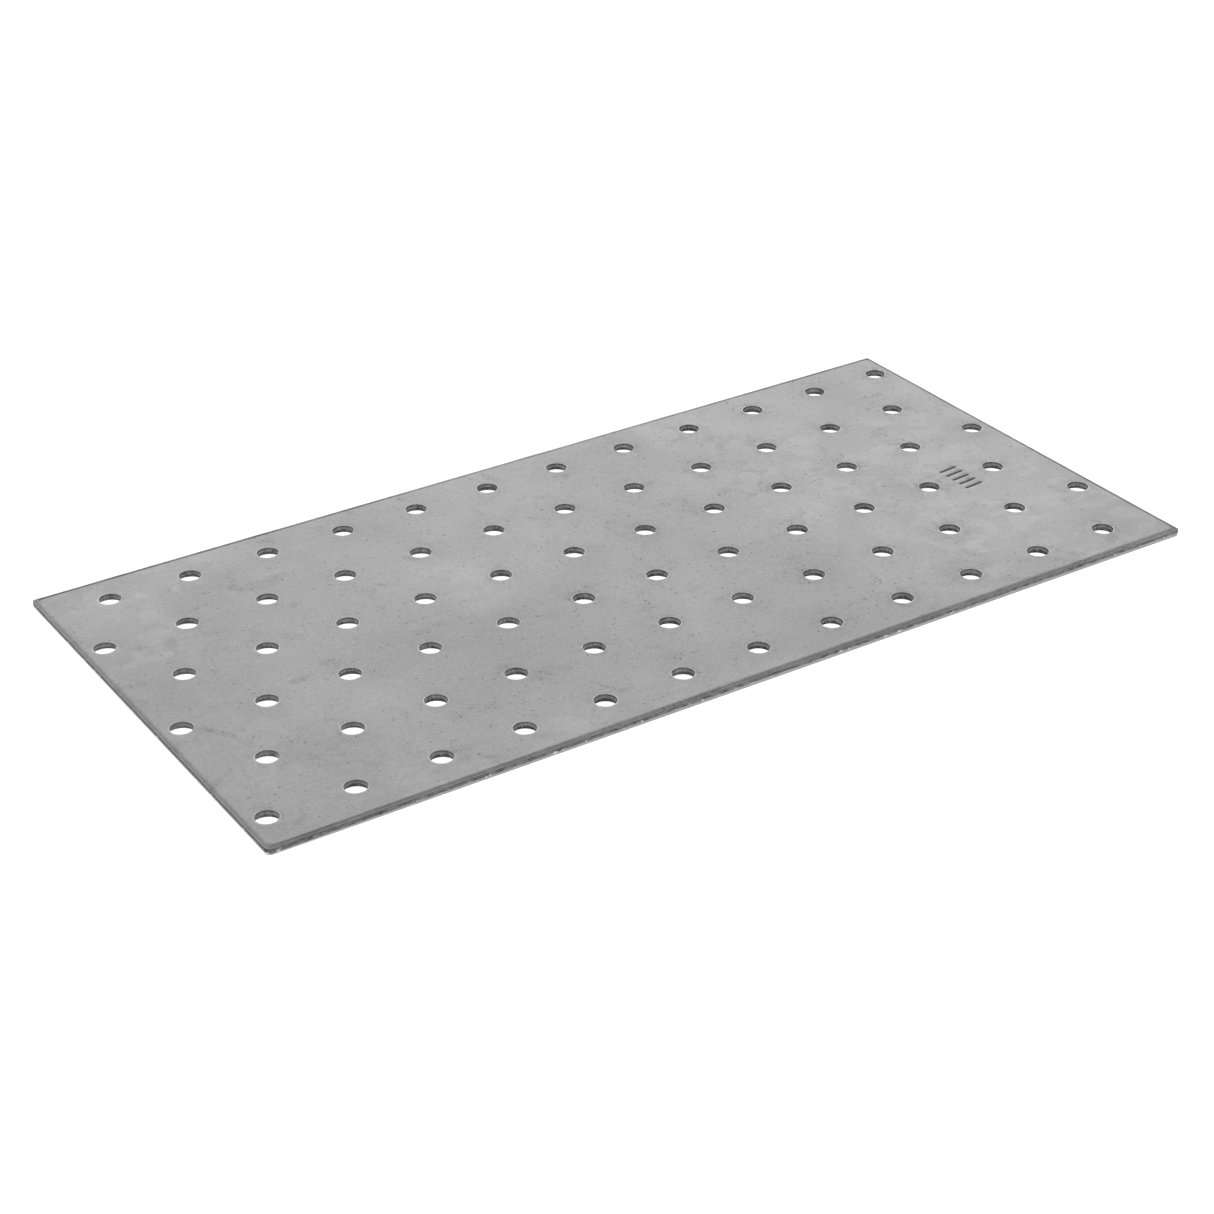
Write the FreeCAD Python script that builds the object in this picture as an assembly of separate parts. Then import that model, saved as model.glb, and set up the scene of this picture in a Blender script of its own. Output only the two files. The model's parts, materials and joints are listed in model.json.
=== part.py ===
import FreeCAD, Part
import os

# Perforated nail plate for joining timbers: one flat blank of galvanised sheet steel, punched
# all over with a staggered field of round nail holes and sheared off square.
# Millimetres. +X runs along the plate, +Y across it and +Z up through its thickness.
# The origin is the middle of the underside. The sheet was punched and sheared from above, so
# its top outline is the rolled one.

# The sheet
PLATE_LENGTH = 240.0
PLATE_WIDTH = 120.0
SHEET_THICKNESS = 2.0
CORNER_RADIUS = 0.5
ROLLED_EDGE_RADIUS = 0.4

# The nail holes: rows run along the plate, and each row sits half a pitch along from the last
HOLE_DIAMETER = 5.0
PITCH = 20.0
ROW_SPACING = 20.0
ROWS = 6
HOLES_PER_ROW = 12
STAGGER = PITCH / 2


def upright_edges(solid):
    """The four short edges that run through the thickness at the corners."""
    found = []
    for edge in solid.Edges:
        start, end = [vertex.Point for vertex in edge.Vertexes]
        if abs(start.z - end.z) > SHEET_THICKNESS / 2:
            found.append(edge)
    return found


def top_outline(solid):
    """The edges round the upper face, corner arcs included."""
    return [edge for edge in solid.Edges if edge.BoundBox.ZMin > SHEET_THICKNESS / 2]


def sheared_blank():
    """The sheet before it is punched, with rounded corners and a rolled top outline."""
    low_corner = FreeCAD.Vector(-PLATE_LENGTH / 2, -PLATE_WIDTH / 2, 0)
    sheet = Part.makeBox(PLATE_LENGTH, PLATE_WIDTH, SHEET_THICKNESS, low_corner)
    rounded = sheet.makeFillet(CORNER_RADIUS, upright_edges(sheet))
    return rounded.makeFillet(ROLLED_EDGE_RADIUS, top_outline(rounded))


def hole_centres():
    """The hole centres on the underside, row by row from the -Y side."""
    field_length = (HOLES_PER_ROW - 1) * PITCH + STAGGER
    field_width = (ROWS - 1) * ROW_SPACING
    centres = []
    for row in range(ROWS):
        shift = STAGGER * (row % 2)
        for column in range(HOLES_PER_ROW):
            x = column * PITCH + shift - field_length / 2
            y = row * ROW_SPACING - field_width / 2
            centres.append(FreeCAD.Vector(x, y, 0))
    return centres


def punches():
    """One cylinder for every nail hole, standing clear of both faces of the sheet."""
    clearance = SHEET_THICKNESS
    height = SHEET_THICKNESS + 2 * clearance
    tools = []
    for centre in hole_centres():
        foot = centre - FreeCAD.Vector(0, 0, clearance)
        tools.append(Part.makeCylinder(HOLE_DIAMETER / 2, height, foot))
    return Part.makeCompound(tools)


def perforated_plate():
    """The finished plate, as one solid."""
    return sheared_blank().cut(punches()).Solids[0]


os.makedirs("parts", exist_ok=True)
perforated_plate().exportStep("parts/perforated_plate.step")
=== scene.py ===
"""Looks of the perforated nail plate: galvanised sheet steel, punched and sheared.

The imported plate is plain, so one detailed piece stands in for it: the same outline, thickness
and holes, with rolled rims, torn hole walls, sheared edges and a stamped tally.
Lengths are in millimetres in the plate's own frame, and go into Blender in metres.
"""

import json
import math

import bpy
import numpy as np
from mathutils import Matrix, Vector, noise
from mathutils.geometry import delaunay_2d_cdt


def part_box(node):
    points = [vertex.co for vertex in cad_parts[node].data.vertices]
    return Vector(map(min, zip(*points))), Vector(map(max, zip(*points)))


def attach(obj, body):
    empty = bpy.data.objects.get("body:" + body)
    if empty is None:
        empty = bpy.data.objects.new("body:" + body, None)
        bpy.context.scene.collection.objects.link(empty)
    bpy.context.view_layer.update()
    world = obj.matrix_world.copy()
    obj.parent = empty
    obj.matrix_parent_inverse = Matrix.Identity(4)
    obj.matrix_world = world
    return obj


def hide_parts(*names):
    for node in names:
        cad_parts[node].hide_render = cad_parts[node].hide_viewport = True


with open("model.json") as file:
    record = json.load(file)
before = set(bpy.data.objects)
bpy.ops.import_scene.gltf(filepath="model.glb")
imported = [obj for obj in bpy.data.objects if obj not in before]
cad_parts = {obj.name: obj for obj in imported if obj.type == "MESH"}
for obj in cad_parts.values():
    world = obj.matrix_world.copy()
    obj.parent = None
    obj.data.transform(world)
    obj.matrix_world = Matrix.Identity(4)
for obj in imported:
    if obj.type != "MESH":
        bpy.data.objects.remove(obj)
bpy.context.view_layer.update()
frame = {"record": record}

MM = 0.001
NODE = "perforated_plate"

# The sheet, from the frame
LOW, HIGH = [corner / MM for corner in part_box(NODE)]
HALF_LENGTH = (HIGH.x - LOW.x) / 2
HALF_WIDTH = (HIGH.y - LOW.y) / 2
TOP = HIGH.z
BORES = [mount for mount in frame["record"]["mounts"] if mount["kind"] == "bore"]
HOLES = np.array([mount["pos_m"][:2] for mount in BORES]) / MM
ROWS = np.unique(HOLES[:, 1].round(3))
HOLE_RADIUS = BORES[0]["dims"]["r_mm"]

# The sheared outline, side by side: how far in the rolled edge starts, how deep it drops, how
# high the torn part reaches, how much painted shade darkens the roll's zinc and where that starts,
# and how much a painted highlight lightens the roll's rim
SIDES = {
    "near": dict(outward=(0, -1), roll=1.28, drop=0.34, tear=0.92, dull=0.30, dull_from=-0.06, painted_rim_highlight=0.0),
    "right": dict(outward=(1, 0), roll=0.95, drop=0.30, tear=0.90, dull=0.50, dull_from=-0.25, painted_rim_highlight=0.0),
    "far": dict(outward=(0, 1), roll=1.40, drop=0.55, tear=0.80, dull=0.62, dull_from=-0.35, painted_rim_highlight=0.0),
    "left": dict(outward=(-1, 0), roll=1.05, drop=0.26, tear=0.66, dull=0.04, dull_from=-0.25, painted_rim_highlight=0.04),
}
# The near side's roll narrows toward its -X end by this share
ROLL_NARROWS = 0.45
# The roll is a quarter turn in steps, and a loop just inside its start keeps the face beside it
# flat. That loop's place, and the stretch over which the painted shade sets in, are shares of the
# roll's width.
ROLL_ANGLES = (0, 1, 12, 24, 38, 54, 68, 80, 90)
ROLL_MARGIN = -0.18
PAINTED_SHADE_RISE = 0.25
OUTLINE_STEP = 0.5
# The corners' radii, from the -Y end of +X and on anticlockwise: where the roll starts and outside
INNER_CORNER_RADII = (1.0, 0.9, 1.2, 2.4)
OUTER_CORNER_RADII = (0.5, 0.4, 0.8, 1.3)
CORNER_STEPS = 8
# The wall under the roll: loops down the cut part, and then down the torn part, which leans in
CUT_SHARES = (0.5, 1.0)
TORN_SHARES = (0.06, 0.2, 0.36, 0.52, 0.68, 0.84, 1.0)
TEAR_LEAN = 0.13
TEAR_ROUGHNESS = 0.035
FOOT_INSET = 0.55
# The near side is worn toward its -X end: its torn part is lower there, and its cut dirtier
WORN_END = 45.0
WORN_TEAR = 0.42
WORN_DIRT = 0.22

# The punched holes. Each row has its own punch, so each row tears its own way.
HOLE_STEPS = 44
RIM_ANGLES = (0, 22, 42, 60, 76, 90)
RIM_ROLL = 0.15
RIM_DROP = 0.1
HOLE_BREAK = 1.0
HOLE_TORN_SHARES = (0.12, 0.4, 0.7, 1.0)
ROW_FLARE = (0.24, 0.36, 0.46, 0.58, 0.62, 0.36)
# The holes toward the -X end flare by this much more, from about this place on
WORN_FLARE = 0.28
WORN_FLARE_PLACE = -62.0
WORN_FLARE_FADE = 8.0
FLARE_LIMIT = 0.95
FLARE_LOPSIDED = 0.3
BURR_HEIGHT = 0.03
BURR_WIDTH = 0.06

# The faces: their points' spacing, how far they keep from the outline, and the rings round each
# hole, as the gap to its wall and the number of points. Rings keep their own margin from the
# blank's ends, staggered rows rise by a share of their spacing, and the upper face waves a little.
TOP_STEP = 3.2
TOP_MARGIN = 2.2
TOP_RINGS = ((0.7, 30), (1.35, 20))
BOTTOM_STEP = 5.0
BOTTOM_MARGIN = 2.0
BOTTOM_RINGS = ((1.6, 14),)
RING_MARGIN = 1.6
ROW_RISE = 0.87
WAVE_HEIGHT = 0.025
WAVE_LENGTH = 34.0

# Soft clouds in the zinc: place, reach and strength, dark below nought
CLOUDS = (
    (19, 21, 16, -0.5), (32, -17, 14, -0.7), (13, -32, 15, -0.8), (-21, -32, 14, -0.6),
    (-41, -8, 9, -0.6), (-86, 9, 8, -0.7), (44, -20, 12, -0.5), (-39, -31, 12, -0.5),
    (-104, 5, 9, -0.35), (-10, 20, 10, 0.7), (-33, 7, 9, 0.9), (-42, 17, 8, 0.7),
    (95, 9, 18, 0.6), (50, 52, 14, 0.5), (75, 25, 16, 0.5), (70, -35, 12, 0.3),
    (108, -42, 30, 2.2), (-112, 46, 22, 1.6), (-60, 30, 28, -0.8), (-20, -4, 26, -0.9),
    (20, 42, 28, -0.6), (24, -44, 24, -0.6), (90, 44, 26, -0.4), (-60, -8, 22, -0.6),
    (96, -12, 9, -1.3),
)

# The smudges round the holes are heavier on the +X half, and fade out this far from each rim
SMUDGE_PLACE = -20.0
SMUDGE_FADE = 25.0
SMUDGE_REACH = 1.8

# The stamped tally: plain strokes side by side
TALLY_CENTRE = (94.7, -10.2)
TALLY_STROKES = 5
TALLY_SPACING = 2.5
TALLY_LENGTH = 4.6
TALLY_SLANT = 0.42
TALLY_HALF_WIDTH = 0.55
TALLY_DEPTH = 0.24
# The close points under it: their spacing, the half-width of the field that they are picked from
# and how far from a stroke's line they go. The last three are room round the strokes: for those
# points, kept clear of the face's own points, and within which a groove is looked for.
TALLY_STEP = 0.17
TALLY_REACH = 8.0
STROKE_REACH = 0.85
PATCH_SPARE = 0.55
CLEAR_SPARE = 0.8
GROOVE_SPARE = 1.0

# Edges between faces that meet more steeply than this, in degrees, are sharp
SHARP_ANGLE = 38

# Slots of the piece's materials
ZINC, SHEARED, PUNCHED = 0, 1, 2


def wander(x, y, z, scale):
    """Smooth repeatable noise between about -1 and 1, in features of about the scale's size."""
    return noise.noise(Vector((x / scale, y / scale, z / scale)))


class Sheet:
    """Collects the piece's points, faces and per-point values."""

    VALUES = ("dull", "rolled", "tear", "short_side", "hole_gap", "smudge", "tone", "groove")

    def __init__(self):
        self.points = []
        self.faces = []
        self.slots = []
        self.values = {name: [] for name in self.VALUES}

    def point(self, x, y, z, **values):
        self.points.append((x, y, z))
        for name in self.VALUES:
            self.values[name].append(values.get(name, 0.0))
        return len(self.points) - 1

    def face(self, corners, slot):
        self.faces.append(corners)
        self.slots.append(slot)

    def band(self, upper, lower, slot):
        """Quads between two closed loops of as many points, the upper one anticlockwise."""
        count = len(upper)
        for i in range(count):
            j = (i + 1) % count
            self.face((upper[j], upper[i], lower[i], lower[j]), slot)

    def build(self, name):
        mesh = bpy.data.meshes.new(name)
        mesh.from_pydata((np.array(self.points) * MM).tolist(), [], self.faces)
        mesh.polygons.foreach_set("material_index", self.slots)
        mesh.polygons.foreach_set("use_smooth", [True] * len(self.faces))
        for value_name, values in self.values.items():
            mesh.attributes.new(value_name, "FLOAT", "POINT").data.foreach_set("value", values)
        mesh.set_sharp_from_angle(angle=math.radians(SHARP_ANGLE))
        mesh.validate()
        piece = bpy.data.objects.new(name, mesh)
        bpy.context.scene.collection.objects.link(piece)
        return piece


def side_value(outward, name):
    """A side's value, blended round the corners by which way the outline faces."""
    total = 0.0
    for side in SIDES.values():
        facing = max(outward.dot(Vector(side["outward"])), 0.0) ** 2
        total += facing * side[name]
    return total


def outline_loop(insets, corner_radii):
    """Points round a rounded rectangle, anticlockwise, and the way out at each.

    insets holds the distance in from the blank's sides: +X, +Y, -X, -Y. corner_radii holds the
    corners' radii: -Y end of +X, then on anticlockwise. Every loop has the same number of
    points, so loops of different insets pair up.
    """
    right, top, left, bottom = insets
    long_steps = round(2 * HALF_LENGTH / OUTLINE_STEP)
    short_steps = round(2 * HALF_WIDTH / OUTLINE_STEP)
    tips = (
        (HALF_LENGTH - right, -HALF_WIDTH + bottom),
        (HALF_LENGTH - right, HALF_WIDTH - top),
        (-HALF_LENGTH + left, HALF_WIDTH - top),
        (-HALF_LENGTH + left, -HALF_WIDTH + bottom),
    )
    steps = (short_steps, long_steps, short_steps, long_steps)
    arcs = []
    for i, (x, y) in enumerate(tips):
        radius = corner_radii[i]
        centre = Vector((x - math.copysign(radius, x), y - math.copysign(radius, y)))
        turns = [math.radians(90 * (i - 1 + k / CORNER_STEPS)) for k in range(CORNER_STEPS + 1)]
        facings = [Vector((math.cos(turn), math.sin(turn))) for turn in turns]
        arcs.append([(centre + radius * facing, facing) for facing in facings])
    points, outward = [], []
    for i, arc in enumerate(arcs):
        for place, facing in arc:
            points.append(place)
            outward.append(facing)
        next_start = arcs[(i + 1) % 4][0][0]
        corner_end = points[-1]
        for k in range(1, steps[i]):
            points.append(corner_end.lerp(next_start, k / steps[i]))
            outward.append(outward[-1])
    return points, outward


def gap_to_holes(x, y):
    """Distance to the nearest hole's wall, and that hole's number."""
    reach = np.hypot(HOLES[:, 0] - x, HOLES[:, 1] - y)
    nearest = int(reach.argmin())
    return reach[nearest] - HOLE_RADIUS, nearest


def cloud_tone(x, y):
    """Sum of the soft clouds at a place, with wandering edges."""
    shift_x = 7 * wander(x, y, 3, 18) + 3 * wander(x, y, 5, 6)
    shift_y = 7 * wander(x, y, 9, 18) + 3 * wander(x, y, 7, 6)
    total = 0.0
    for cloud_x, cloud_y, reach, strength in CLOUDS:
        distance = math.hypot(x + shift_x - cloud_x, y + shift_y - cloud_y)
        total += strength * math.exp(-((distance / reach) ** 2))
    return total


def hole_smudge(number, gap):
    """How dirty the zinc is at a gap from a hole's rim: heavier on the +X half."""
    x, y = HOLES[number]
    lean = 1 / (1 + math.exp((SMUDGE_PLACE - x) / SMUDGE_FADE))
    strength = (0.25 + 0.75 * lean) * (0.55 + 0.45 * wander(x, y, 40, 13))
    return max(strength, 0.0) * math.exp(-gap / SMUDGE_REACH)


def stroke_line(number):
    """The Y of the middle of one of the tally's strokes."""
    return TALLY_CENTRE[1] + (number - (TALLY_STROKES - 1) / 2) * TALLY_SPACING


def stroke_profile(x, y):
    """How deep the stamped tally is at a place, from 0 to 1."""
    run = Vector((TALLY_LENGTH, TALLY_SLANT)).normalized()
    deepest = 0.0
    for number in range(TALLY_STROKES):
        offset = Vector((x - TALLY_CENTRE[0], y - stroke_line(number)))
        along = max(-TALLY_LENGTH / 2, min(TALLY_LENGTH / 2, offset.dot(run)))
        away = (offset - run * along).length
        deepest = max(deepest, 1 - away / TALLY_HALF_WIDTH)
    return max(deepest, 0.0)


def top_height(x, y):
    """The upper face: a little wavy, never above the sheet's thickness."""
    wave = 0.5 + 0.5 * wander(x, y, 60, WAVE_LENGTH)
    return TOP - WAVE_HEIGHT * min(max(wave, 0.0), 1.0)


def bottom_height(x, y):
    """The underside, flat and as high as the burrs that it stands on."""
    return BURR_HEIGHT


def scatter_field(step, outline_margin, rings):
    """Inner points of a face: rings round the holes, then a staggered field."""
    points = []
    for x, y in HOLES:
        for gap, count in rings:
            radius = HOLE_RADIUS + gap
            for i in range(count):
                angle = 2 * math.pi * (i + 0.5) / count
                ring_x, ring_y = x + radius * math.cos(angle), y + radius * math.sin(angle)
                if abs(ring_x) < HALF_LENGTH - RING_MARGIN:
                    points.append((ring_x, ring_y))
    clear_gap = rings[-1][0] + 0.6 * step
    reach_x = HALF_LENGTH - outline_margin
    reach_y = HALF_WIDTH - outline_margin
    rows = int(2 * HALF_WIDTH / (step * ROW_RISE)) + 1
    columns = int(2 * HALF_LENGTH / step) + 1
    for row in range(rows):
        for column in range(columns):
            x = -HALF_LENGTH + (column + 0.5 * (row % 2)) * step
            y = -HALF_WIDTH + row * step * ROW_RISE
            inside = abs(x) < reach_x and abs(y) < reach_y
            if inside and gap_to_holes(x, y)[0] > clear_gap:
                points.append((x, y))
    return points


def in_tally(x, y, spare):
    """Whether a place is within the stamped patch, with some room to spare."""
    half_x = TALLY_LENGTH / 2 + spare
    half_y = TALLY_SPACING * (TALLY_STROKES - 1) / 2 + TALLY_SLANT + spare
    return abs(x - TALLY_CENTRE[0]) < half_x and abs(y - TALLY_CENTRE[1]) < half_y


def tally_field():
    """Close points under the stamped strokes."""
    points = []
    half = int(TALLY_REACH / TALLY_STEP)
    for i in range(-half, half + 1):
        for j in range(-half, half + 1):
            x = TALLY_CENTRE[0] + (i + 0.5 * (j % 2)) * TALLY_STEP
            y = TALLY_CENTRE[1] + j * TALLY_STEP * ROW_RISE
            near = any(abs(y - stroke_line(k)) < STROKE_REACH for k in range(TALLY_STROKES))
            if near and in_tally(x, y, PATCH_SPARE):
                points.append((x, y))
    return points


def fill_face(sheet, outer, hole_loops, field, height, facing_up):
    """Triangulates a face between its outline loop and its hole loops."""
    ids, flat, edges, ring_of = [], [], [], {}
    for ring, loop in enumerate([outer] + hole_loops):
        start = len(flat)
        for index in loop:
            if ring > 0:
                ring_of[len(flat)] = ring
            ids.append(index)
            flat.append(Vector(sheet.points[index][:2]))
        count = len(loop)
        edges += [(start + i, start + (i + 1) % count) for i in range(count)]
    for x, y in field:
        gap, number = gap_to_holes(x, y)
        groove = stroke_profile(x, y) if facing_up and in_tally(x, y, GROOVE_SPARE) else 0.0
        z = height(x, y) - TALLY_DEPTH * groove
        values = dict(hole_gap=gap, groove=groove)
        if facing_up:
            values.update(tone=cloud_tone(x, y), smudge=hole_smudge(number, gap))
        ids.append(sheet.point(x, y, z, **values))
        flat.append(Vector((x, y)))
    _, _, triangles, sources, _, _ = delaunay_2d_cdt(flat, edges, [], 1, 1e-5)
    first = [source[0] for source in sources]
    for triangle in triangles:
        corners = [first[i] for i in triangle]
        rings = {ring_of.get(i) for i in corners}
        if len(rings) == 1 and None not in rings:
            continue
        a, b, c = (flat[i] for i in corners)
        if ((b - a).cross(c - a) > 0) != facing_up:
            corners.reverse()
        sheet.face(tuple(ids[i] for i in corners), ZINC)


def roll_dullness(place, outward, share):
    """Painted shade on the roll's zinc, from its start (share 0) to the cut (share 1), less a painted
    highlight at the rim.
    """
    start = side_value(outward, "dull_from")
    rise = min(max((share - start) / PAINTED_SHADE_RISE, 0.0), 1.0) if share > 0 else 0.0
    # The painted shade is patchy, eased toward the middle of the far side, and lessened at the rim by the
    # painted highlight.
    patchy = 1 + 0.25 * wander(place.x, place.y, 15, 12) + 0.2 * wander(place.x, place.y, 16, 3)
    painted_shade_eased = 1 - 0.4 * max(outward.y, 0.0) * math.exp(-((place.x - 30) / 55) ** 2)
    painted_rim_lift = side_value(outward, "painted_rim_highlight") * max(share, 0.0) ** 1.5
    return side_value(outward, "dull") * rise * patchy * painted_shade_eased - painted_rim_lift


def worn_end(place, outward):
    """How worn the near side is: 1 at its -X end, fading along it. The other sides are 0."""
    return max(-outward.y, 0.0) * math.exp(-(place.x + HALF_LENGTH) / WORN_END)


def tear_height(place, outward):
    """How high the torn part of the sheared wall reaches."""
    worn = WORN_TEAR * worn_end(place, outward)
    broad = 1 + 0.07 * wander(place.x, place.y, 31, 9) + 0.12 * wander(place.x, place.y, 33, 2.2)
    return (side_value(outward, "tear") - worn) * broad


def sheared_outline(sheet):
    """The rolled, cut and torn edge all round. Returns its top and bottom loops."""
    rolls = [SIDES[name]["roll"] for name in ("right", "far", "left", "near")]
    inner, _ = outline_loop(rolls, INNER_CORNER_RADII)
    outer, outward = outline_loop((0, 0, 0, 0), OUTER_CORNER_RADII)
    tears = [tear_height(place, way) for place, way in zip(outer, outward)]
    loops = []

    for angle in ROLL_ANGLES:
        share = math.sin(math.radians(angle)) if angle else ROLL_MARGIN
        fall = 1 - math.cos(math.radians(angle))
        loop = []
        for i, way in enumerate(outward):
            narrowed = ROLL_NARROWS * max(-way.y, 0.0) * (0.5 - 0.5 * outer[i].x / HALF_LENGTH) ** 3
            place = inner[i].lerp(outer[i], share + narrowed * (1 - share))
            drop = side_value(way, "drop") * (1 + 0.25 * wander(place.x, place.y, 20, 9))
            loop.append(sheet.point(
                place.x, place.y, top_height(place.x, place.y) - drop * fall,
                dull=roll_dullness(place, way, share), rolled=float(angle > 0),
                tone=cloud_tone(*place), hole_gap=gap_to_holes(*place)[0],
            ))
        if loops:
            sheet.band(loops[-1], loop, ZINC)
        loops.append(loop)

    rim = loops[-1]

    def wall(share, torn):
        loop = []
        for i, way in enumerate(outward):
            top = sheet.points[rim[i]][2]
            if torn:
                z = tears[i] + (BURR_HEIGHT - tears[i]) * share
                rough = abs(wander(outer[i].x, outer[i].y, z * 2.2 + 50, 0.8))
                rough += 0.6 * abs(wander(outer[i].x, outer[i].y, z * 3 + 70, 0.35))
                lean = TEAR_LEAN * share + TEAR_ROUGHNESS * rough * min(1.0, 4 * share)
            else:
                z, lean = top + (tears[i] - top) * share, 0.0
            place = outer[i] - way * lean
            gap = gap_to_holes(*place)[0]
            dirt = WORN_DIRT * worn_end(outer[i], way)
            loop.append(sheet.point(
                *place, z, tear=tears[i], dull=dirt, short_side=way.x ** 2, hole_gap=gap,
            ))
        sheet.band(loops[-1], loop, SHEARED)
        loops.append(loop)

    for share in CUT_SHARES:
        wall(share, torn=False)
    for share in TORN_SHARES:
        wall(share, torn=True)
    foot = []
    for place in outline_loop((FOOT_INSET,) * 4, OUTER_CORNER_RADII)[0]:
        foot.append(sheet.point(*place, BURR_HEIGHT, hole_gap=gap_to_holes(*place)[0]))
    sheet.band(loops[-1], foot, ZINC)
    return loops[0], foot


def punched_hole(sheet, number):
    """One hole: rolled rim, smooth cut wall, torn cone and burr. Returns its end loops."""
    x, y = HOLES[number]
    angles = [2 * math.pi * i / HOLE_STEPS for i in range(HOLE_STEPS)]
    row = int(abs(ROWS - y).argmin())
    worn = 1 / (1 + math.exp((x - WORN_FLARE_PLACE) / WORN_FLARE_FADE))
    flare = min((ROW_FLARE[row] + WORN_FLARE * worn) * (1 + 0.3 * wander(x, y, 90, 5)), FLARE_LIMIT)
    flare_side = math.pi * (1 + wander(x, y, 80, 7))
    break_height = HOLE_BREAK * (1 + 0.15 * wander(x, y, 95, 6))
    drop = RIM_DROP * (1 + 0.2 * wander(x, y, 97, 8))
    smudge = hole_smudge(number, 0.0)
    loops = []

    for turn in RIM_ANGLES:
        radius = HOLE_RADIUS + RIM_ROLL * (1 - math.sin(math.radians(turn)))
        fall = drop * (1 - math.cos(math.radians(turn)))
        loop = []
        for angle in angles:
            px, py = x + radius * math.cos(angle), y + radius * math.sin(angle)
            loop.append(sheet.point(
                px, py, top_height(px, py) - fall,
                hole_gap=radius - HOLE_RADIUS, smudge=smudge, tone=cloud_tone(px, py),
            ))
        if loops:
            sheet.band(loop, loops[-1], ZINC)
        loops.append(loop)

    rim = loops[-1]

    def wall(share, torn):
        loop = []
        for k, angle in enumerate(angles):
            cos, sin = math.cos(angle), math.sin(angle)
            edge = break_height * (1 + 0.12 * wander(x + 3 * cos, y + 3 * sin, 11, 1.1))
            start = sheet.points[rim[k]][2]
            if torn:
                z = edge + (BURR_HEIGHT - edge) * share
                lopsided = 1 + FLARE_LOPSIDED * math.cos(angle - flare_side)
                rough = 0.035 * abs(wander(x + 4 * cos, y + 4 * sin, z * 2, 0.5))
                radius = HOLE_RADIUS + flare * lopsided * share ** 0.8 + rough * min(1.0, 4 * share)
            else:
                z = start + (edge - start) * share
                radius = HOLE_RADIUS
            loop.append(sheet.point(x + radius * cos, y + radius * sin, z, tear=edge))
        sheet.band(loop, loops[-1], PUNCHED)
        loops.append(loop)

    for share in CUT_SHARES:
        wall(share, torn=False)
    for share in HOLE_TORN_SHARES:
        wall(share, torn=True)

    crest = []
    for index in loops[-1]:
        px, py, _ = sheet.points[index]
        spread = 1 + BURR_WIDTH / math.hypot(px - x, py - y)
        crest.append(sheet.point(x + (px - x) * spread, y + (py - y) * spread, 0.0))
    foot_radius = HOLE_RADIUS + (1 + FLARE_LOPSIDED) * flare + 3.5 * BURR_WIDTH
    foot = []
    for angle in angles:
        px, py = x + foot_radius * math.cos(angle), y + foot_radius * math.sin(angle)
        foot.append(sheet.point(px, py, BURR_HEIGHT, hole_gap=foot_radius - HOLE_RADIUS))
    sheet.band(crest, loops[-1], ZINC)
    sheet.band(foot, crest, ZINC)
    return loops[0], foot


def make_plate():
    sheet = Sheet()
    top_outer, bottom_outer = sheared_outline(sheet)
    rims = [punched_hole(sheet, number) for number in range(len(HOLES))]
    top_field = scatter_field(TOP_STEP, TOP_MARGIN, TOP_RINGS)
    top_field = [place for place in top_field if not in_tally(*place, CLEAR_SPARE)] + tally_field()
    fill_face(sheet, top_outer, [top for top, _ in rims], top_field, top_height, facing_up=True)
    bottom_field = scatter_field(BOTTOM_STEP, BOTTOM_MARGIN, BOTTOM_RINGS)
    fill_face(sheet, bottom_outer, [low for _, low in rims], bottom_field, bottom_height, facing_up=False)
    return sheet.build("galvanised_plate")


# Materials

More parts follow.
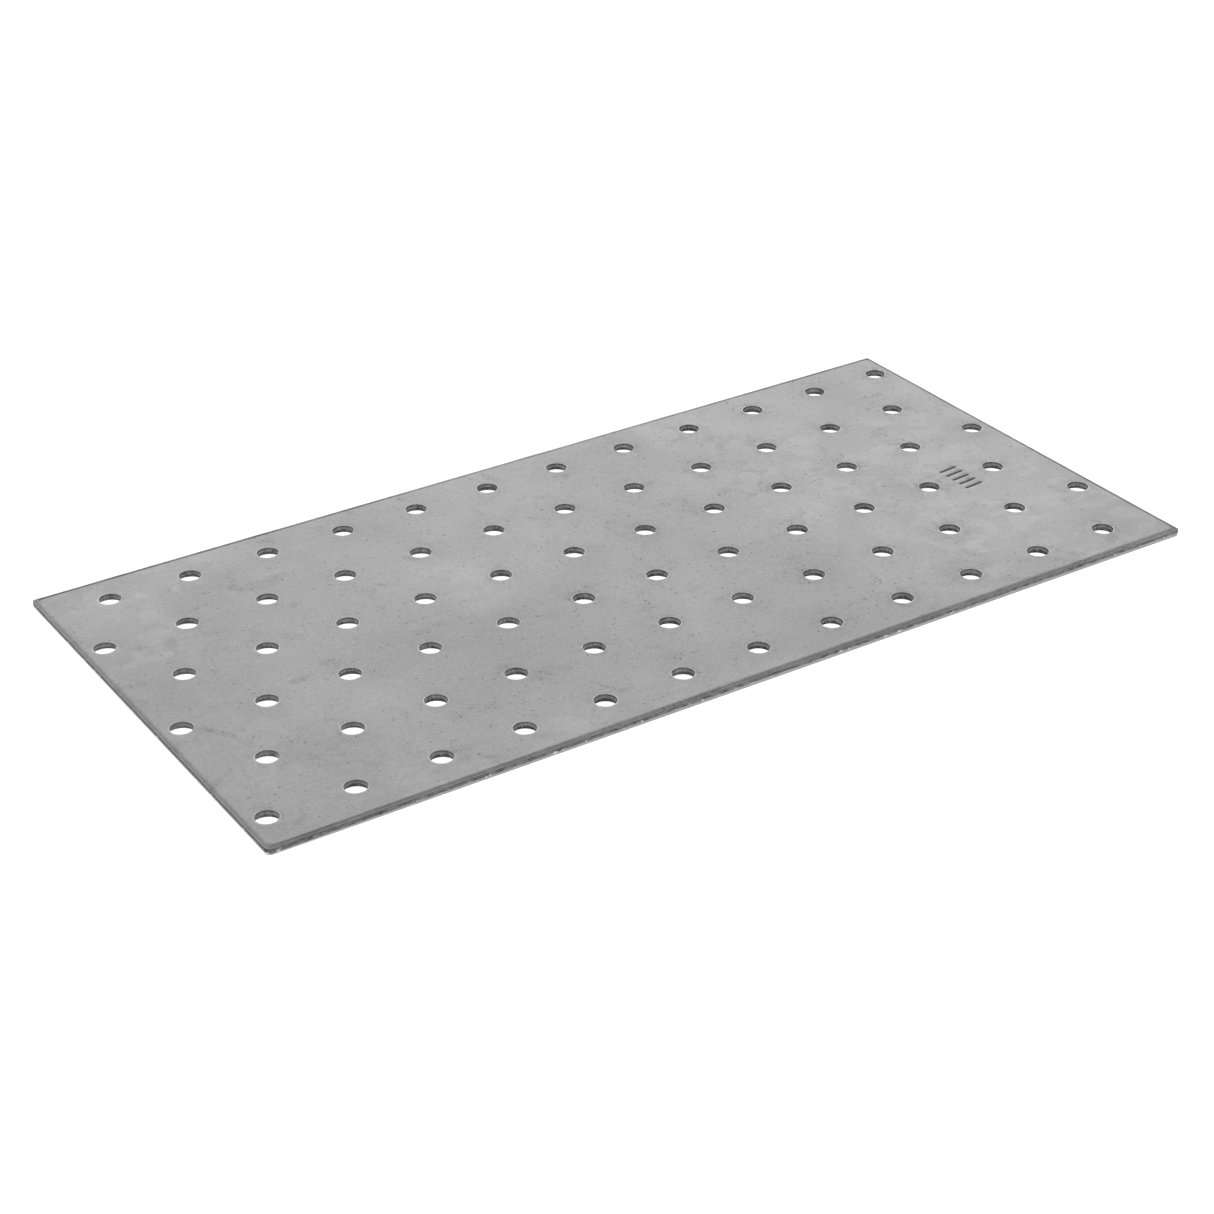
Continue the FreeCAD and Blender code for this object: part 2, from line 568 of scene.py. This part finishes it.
class Nodes:
    """Short calls for building a shader."""

    def __init__(self, name):
        self.material = bpy.data.materials.new(name)
        self.material.use_nodes = True
        self.tree = self.material.node_tree
        self.shader = self.tree.nodes["Principled BSDF"]
        where = self.add("ShaderNodeTexCoord")
        self.place = self.scaled(where.outputs["Object"], 1 / MM)

    def add(self, kind, **settings):
        node = self.tree.nodes.new(kind)
        for name, value in settings.items():
            setattr(node, name, value)
        return node

    def put(self, socket, value):
        if isinstance(value, bpy.types.NodeSocket):
            self.tree.links.new(value, socket)
        else:
            socket.default_value = value

    def maths(self, operation, a, b=0.0, c=0.0):
        node = self.add("ShaderNodeMath", operation=operation)
        for socket, value in zip(node.inputs, (a, b, c)):
            self.put(socket, value)
        return node.outputs[0]

    def scaled(self, a, scale):
        node = self.add("ShaderNodeVectorMath", operation="SCALE")
        self.put(node.inputs[0], a)
        self.put(node.inputs["Scale"], scale)
        return node.outputs[0]

    def remap(self, value, low, high, to_low=0.0, to_high=1.0):
        """A smooth step: to_low at low, to_high at high. low may be the larger."""
        node = self.add("ShaderNodeMapRange", interpolation_type="SMOOTHSTEP")
        for name, item in (("Value", value), ("From Min", low), ("From Max", high),
                           ("To Min", to_low), ("To Max", to_high)):
            self.put(node.inputs[name], item)
        return node.outputs[0]

    def stretched(self, x=1.0, y=1.0, z=1.0):
        node = self.add("ShaderNodeVectorMath", operation="MULTIPLY")
        self.put(node.inputs[0], self.place)
        self.put(node.inputs[1], (x, y, z))
        return node.outputs[0]

    def cloud(self, size, detail=3.0, roughness=0.5, at=None, distortion=0.0):
        """Noise from 0 to 1 whose features are about size mm across."""
        node = self.add("ShaderNodeTexNoise")
        self.put(node.inputs["Vector"], at or self.place)
        self.put(node.inputs["Scale"], 1 / size)
        self.put(node.inputs["Detail"], detail)
        self.put(node.inputs["Roughness"], roughness)
        self.put(node.inputs["Distortion"], distortion)
        return node.outputs["Fac"]

    def specks(self, spacing, radius, share, flat=True):
        """Round specks: one possible speck to each cell, kept in a share of the cells.

        Flat ones lie in the plane of the sheet, and the others fill the space round it.
        """
        node = self.add("ShaderNodeTexVoronoi", voronoi_dimensions="2D" if flat else "3D")
        self.put(node.inputs["Vector"], self.place)
        self.put(node.inputs["Scale"], 1 / spacing)
        split = self.add("ShaderNodeSeparateColor")
        self.put(split.inputs[0], node.outputs["Color"])
        cell_radius = radius / spacing
        few_large = self.maths("POWER", split.outputs[0], 2.5)
        size = self.maths("MULTIPLY_ADD", few_large, 0.6 * cell_radius, 0.4 * cell_radius)
        spot = self.remap(self.maths("DIVIDE", node.outputs["Distance"], size), 0.45, 1.0, 1.0, 0.0)
        kept = self.maths("LESS_THAN", split.outputs[1], share)
        return self.maths("MULTIPLY", spot, kept)

    def value_of(self, name):
        return self.add("ShaderNodeAttribute", attribute_name=name).outputs["Fac"]

    def height(self):
        split = self.add("ShaderNodeSeparateXYZ")
        self.put(split.inputs[0], self.place)
        return split.outputs[2]

    def sum_of(self, base, *terms):
        """base plus each (value, weight)."""
        total = base
        for value, weight in terms:
            total = self.maths("MULTIPLY_ADD", value, weight, total)
        return total

    def grey(self, value):
        node = self.add("ShaderNodeCombineColor")
        for socket in node.inputs:
            self.put(socket, value)
        return node.outputs[0]

    def bump(self, height, distance, below=None):
        node = self.add("ShaderNodeBump")
        self.put(node.inputs["Height"], height)
        node.inputs["Distance"].default_value = distance * MM
        if below is not None:
            self.put(node.inputs["Normal"], below)
        return node.outputs[0]

    def finish(self, colour, roughness, metallic, normal):
        self.put(self.shader.inputs["Base Color"], colour)
        self.put(self.shader.inputs["Roughness"], roughness)
        self.shader.inputs["Metallic"].default_value = metallic
        self.put(self.shader.inputs["Normal"], normal)
        return self.material


def zinc():
    """Dull galvanised face: clouds, marbling, streaks, grain, pits, dust and smudges by the holes, with
    painted shade on the rolls and grooves and a painted halo round each hole.
    """
    n = Nodes("galvanised_zinc")
    broad = n.cloud(34, 5, 0.55, distortion=0.4)
    patchy = n.cloud(7, 5, 0.6, distortion=0.6)
    grain = n.cloud(0.6, 2, 0.8)
    streaks = n.cloud(1.0, 3, 0.6, at=n.stretched(0.05, 0.9, 1))
    dirt = n.remap(n.cloud(2.2, 4, 0.7), 0.36, 0.7)
    tone = n.value_of("tone")
    smudge = n.maths("MULTIPLY", n.value_of("smudge"), dirt)
    stains = n.remap(n.cloud(10, 6, 0.66, distortion=0.8), 0.46, 0.27)
    crowd_field = n.sum_of(stains, (patchy, 0.5), (tone, -0.06), (smudge, 0.9))
    crowd = n.remap(crowd_field, 0.15, 0.85, 0.12, 1.0)
    marble = n.remap(n.cloud(8, 4, 0.5, distortion=0.8), 0.5, 0.57)
    marble = n.maths("MULTIPLY", marble, n.remap(tone, -0.6, 0.5))
    pits = n.specks(2.0, 0.34, crowd)
    dust = n.specks(0.9, 0.36, crowd)
    sparks = n.specks(2.8, 0.3, 0.4)
    gap = n.value_of("hole_gap")
    # A painted highlight: a light ring close round each hole's wall, patchy along it
    painted_rim_halo = n.maths("MULTIPLY", n.remap(gap, 0.04, 0.12), n.remap(gap, 0.4, 0.2))
    painted_rim_halo = n.maths("MULTIPLY", painted_rim_halo, n.remap(n.cloud(3, 2), 0.3, 0.65, 0.4, 1.0))
    light = n.sum_of(
        0.511,
        (n.maths("SUBTRACT", broad, 0.5), 0.2),
        (n.maths("SUBTRACT", patchy, 0.5), 0.145),
        (n.maths("SUBTRACT", grain, 0.5), 0.2),
        (stains, -0.07),
        (marble, 0.042),
        (n.maths("SUBTRACT", streaks, 0.5), 0.05),
        (tone, 0.032),
        (smudge, -0.14),
        (painted_rim_halo, 0.25),
        (sparks, 0.13),
        (pits, -0.12),
        (dust, -0.105),
    )
    mottle = n.maths("SUBTRACT", n.cloud(1.1, 4, 0.75), 0.5)
    # Painted shade on the rolled edges, from the points' values, with random mottling on the roll
    dull = n.maths("MULTIPLY", n.value_of("dull"), n.maths("ADD", n.cloud(1.4, 3, 0.7), 0.5))
    dull = n.sum_of(dull, (n.maths("MULTIPLY", mottle, n.value_of("rolled")), 0.45))
    light = n.maths("MULTIPLY", light, n.maths("SUBTRACT", 1.0, dull))
    # Painted shade: the zinc in the stamped grooves is darkened
    stamped = n.remap(n.value_of("groove"), 0.1, 0.6)
    light = n.maths("MULTIPLY", light, n.maths("MULTIPLY_ADD", stamped, -0.7, 1.0))
    roughness = n.sum_of(0.45, (n.maths("SUBTRACT", patchy, 0.5), 0.2), (pits, 0.25), (smudge, 0.15))
    fine = n.bump(grain, 0.012)
    peel = n.bump(n.cloud(2.4, 2, 0.5), 0.014, fine)
    normal = n.bump(n.maths("MULTIPLY", pits, -1.0), 0.03, peel)
    return n.finish(n.grey(light), roughness, 0.9, normal)


def sheared_steel():
    """The outline's wall: dark gouged cut above, pale torn grain below, flecks between. The cut's
    darkness is partly the steel's own colour and partly painted shade.
    """
    n = Nodes("sheared_steel")
    ragged = n.maths("MULTIPLY_ADD", n.cloud(0.9, 4, 0.7), 0.36, -0.18)
    above = n.maths("ADD", n.maths("SUBTRACT", n.height(), n.value_of("tear")), ragged)
    torn = n.remap(above, 0.0, -0.12)
    short_side = n.value_of("short_side")
    dark_line = n.maths("MULTIPLY", n.remap(above, 1.6, 1.05), short_side)
    drag = n.cloud(0.8, 4, 0.75, at=n.stretched(0.8, 0.8, 1.7))
    blotch = n.cloud(2.2, 3, 0.6)
    stripe = n.cloud(0.22, 2, 0.6, at=n.stretched(0.12, 0.12, 1))
    near_break = n.remap(n.maths("ABSOLUTE", above), 0.1, 0.35, 1.0, 0.0)
    flecks = n.specks(1.25, 0.8, 0.5, flat=False)
    long_side = n.maths("SUBTRACT", 1.0, short_side)
    edge_lines = n.maths("MAXIMUM", n.remap(above, 0.35, 0.15), n.remap(above, 0.5, 0.7))
    edge_lines = n.maths("MULTIPLY", edge_lines, long_side)
    gouges = n.remap(n.cloud(1.5, 4, 0.8, at=n.stretched(0.75, 0.75, 1.5)), 0.4, 0.62)
    gouges = n.maths("MULTIPLY", gouges, n.remap(above, 1.3, 0.85))
    # Painted shade, in part: the dark line on the short sides, and the long sides' cut kept a little
    # darker
    cut = n.sum_of(0.24, (short_side, 0.03), (dark_line, -0.2), (edge_lines, -0.03), (gouges, -0.16),
                   (n.maths("SUBTRACT", drag, 0.5), 0.4), (n.maths("SUBTRACT", blotch, 0.5), 0.16))
    # The points' shade-and-dirt value: the roll's painted shade fading down the top of the wall, then the
    # worn end's dirt
    dirt = n.maths("MULTIPLY", n.value_of("dull"), n.remap(drag, 0.35, 0.65, 0.0, 2.0))
    cut = n.maths("MULTIPLY", cut, n.maths("SUBTRACT", 1.0, dirt))
    grained = n.sum_of(0.39, (n.maths("SUBTRACT", stripe, 0.5), 0.22),
                       (n.maths("SUBTRACT", drag, 0.5), 0.12))
    mix = n.maths("MULTIPLY_ADD", n.maths("SUBTRACT", grained, cut), torn, cut)
    light = n.maths("MAXIMUM", n.sum_of(mix, (n.maths("MULTIPLY", flecks, near_break), 0.4)), 0.03)
    roughness = n.sum_of(0.4, (torn, 0.15), (n.maths("SUBTRACT", drag, 0.5), 0.2))
    coarse = n.bump(n.maths("MULTIPLY", n.cloud(0.3, 4, 0.7), torn), 0.05)
    normal = n.bump(n.cloud(0.12, 2, 0.5), 0.01, coarse)
    return n.finish(n.grey(light), roughness, 0.85, normal)


def punched_steel():
    """The hole walls: mid-grey cut with drag marks, darker torn cone below. The walls' dark grey is
    partly the steel's own colour and partly painted shade, and the darker cone is painted shade.
    """
    n = Nodes("punched_steel")
    ragged = n.maths("MULTIPLY_ADD", n.cloud(0.8, 3, 0.65), 0.4, -0.2)
    above = n.maths("ADD", n.maths("SUBTRACT", n.height(), n.value_of("tear")), ragged)
    torn = n.remap(above, 0.08, -0.2)
    drag = n.cloud(0.45, 3, 0.65, at=n.stretched(1, 1, 0.25))
    blotch = n.cloud(1.6, 3, 0.6)
    lip = n.remap(n.maths("ADD", n.height(), ragged), TOP - 0.5, TOP - 0.2)
    # Painted shade: the torn cone, and a band at the top of the wall just under the rim, are darkened
    light = n.sum_of(0.175, (n.maths("SUBTRACT", drag, 0.5), 0.3), (torn, -0.1), (lip, -0.08),
                     (n.maths("SUBTRACT", blotch, 0.5), 0.3))
    light = n.maths("MAXIMUM", light, 0.03)
    roughness = n.sum_of(0.4, (torn, 0.2))
    coarse = n.bump(n.maths("MULTIPLY", n.cloud(0.28, 4, 0.7), torn), 0.04)
    normal = n.bump(n.cloud(0.12, 2, 0.5), 0.008, coarse)
    return n.finish(n.grey(light), roughness, 0.85, normal)


def matte(name, shade, glow):
    """A plain white surface that may glow a little, as a light table does."""
    n = Nodes(name)
    n.shader.inputs["Base Color"].default_value = (shade, shade, shade, 1)
    n.shader.inputs["Roughness"].default_value = 0.9
    n.shader.inputs["Emission Color"].default_value = (1, 1, 1, 1)
    n.shader.inputs["Emission Strength"].default_value = glow
    return n.material


# Studio

# The floor: its reach each way in metres, how far it lies under the plate in millimetres, its
# glow and its shade. Then the strength of the plain white sky.
FLOOR_REACH = 6.0
FLOOR_DEPTH = 0.02
FLOOR_GLOW = 1.05
FLOOR_SHADE = 0.15
SKY = 0.4

# The softboxes: azimuth and elevation in degrees, distance and size in metres, power in watts
SOFTBOXES = {
    "back_softbox": (149, 20, 0.95, 0.75, 1.4),
    "side_softbox": (60, 50, 1.8, 1.2, 2.0),
    "front_fill": (-40, 60, 2.0, 1.2, 1.0),
    "left_fill": (-85, 25, 1.5, 1.0, 2.8),
}


def make_floor():
    mesh = bpy.data.meshes.new("floor")
    r = FLOOR_REACH
    mesh.from_pydata([(-r, -r, 0), (r, -r, 0), (r, r, 0), (-r, r, 0)], [], [(0, 1, 2, 3)])
    mesh.materials.append(matte("white_table", FLOOR_SHADE, FLOOR_GLOW))
    floor = bpy.data.objects.new("floor", mesh)
    floor.location.z = -FLOOR_DEPTH * MM
    bpy.context.scene.collection.objects.link(floor)


def direction(azimuth, elevation):
    """Away from the plate. Azimuth 0 is the -Y side, 90 the +X side."""
    a, e = math.radians(azimuth), math.radians(elevation)
    return Vector((math.sin(a) * math.cos(e), -math.cos(a) * math.cos(e), math.sin(e)))


def softbox(name, azimuth, elevation, distance, size, power):
    """A square area light aimed at the plate."""
    data = bpy.data.lights.new(name, "AREA")
    data.shape = "SQUARE"
    data.size = size
    data.energy = power
    lamp = bpy.data.objects.new(name, data)
    away = direction(azimuth, elevation)
    lamp.location = away * distance
    lamp.rotation_euler = away.to_track_quat("Z", "Y").to_euler()
    bpy.context.scene.collection.objects.link(lamp)


def make_sky():
    world = bpy.data.worlds.new("studio")
    world.use_nodes = True
    background = world.node_tree.nodes["Background"]
    background.inputs["Color"].default_value = (1, 1, 1, 1)
    background.inputs["Strength"].default_value = SKY
    bpy.context.scene.world = world
    bpy.context.scene.view_settings.view_transform = "Standard"


# The camera: where it aims on the upper face, how far off it is, which way it leans, its lens
# and sensor, and how far the picture is shifted
CAMERA_AIM = (-18.57, -12.58)
CAMERA_DISTANCE = 599.24
CAMERA_AZIMUTH = -31.803
CAMERA_ELEVATION = 29.395
CAMERA_ROLL = -1.02
CAMERA_LENS = 78.753
CAMERA_SENSOR = 36.0
CAMERA_SHIFT = 0.025
CAMERA_CLIP = 10.0


def make_camera():
    data = bpy.data.cameras.new("camera")
    data.sensor_width = CAMERA_SENSOR
    data.lens = CAMERA_LENS
    data.shift_x = CAMERA_SHIFT
    data.clip_start = CAMERA_CLIP * MM
    camera = bpy.data.objects.new("camera", data)
    back = direction(CAMERA_AZIMUTH, CAMERA_ELEVATION)
    aim = Vector((*CAMERA_AIM, TOP)) * MM
    turn = back.to_track_quat("Z", "Y").to_matrix().to_4x4()
    lean = Matrix.Rotation(math.radians(CAMERA_ROLL), 4, "Z")
    camera.matrix_world = Matrix.Translation(aim + back * CAMERA_DISTANCE * MM) @ turn @ lean
    bpy.context.scene.collection.objects.link(camera)
    bpy.context.scene.camera = camera


make_camera()
make_floor()
make_sky()
for lamp_name, lamp_values in SOFTBOXES.items():
    softbox(lamp_name, *lamp_values)

plate = make_plate()
for material in (zinc(), sheared_steel(), punched_steel()):
    plate.data.materials.append(material)
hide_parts(NODE)
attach(plate, "root")
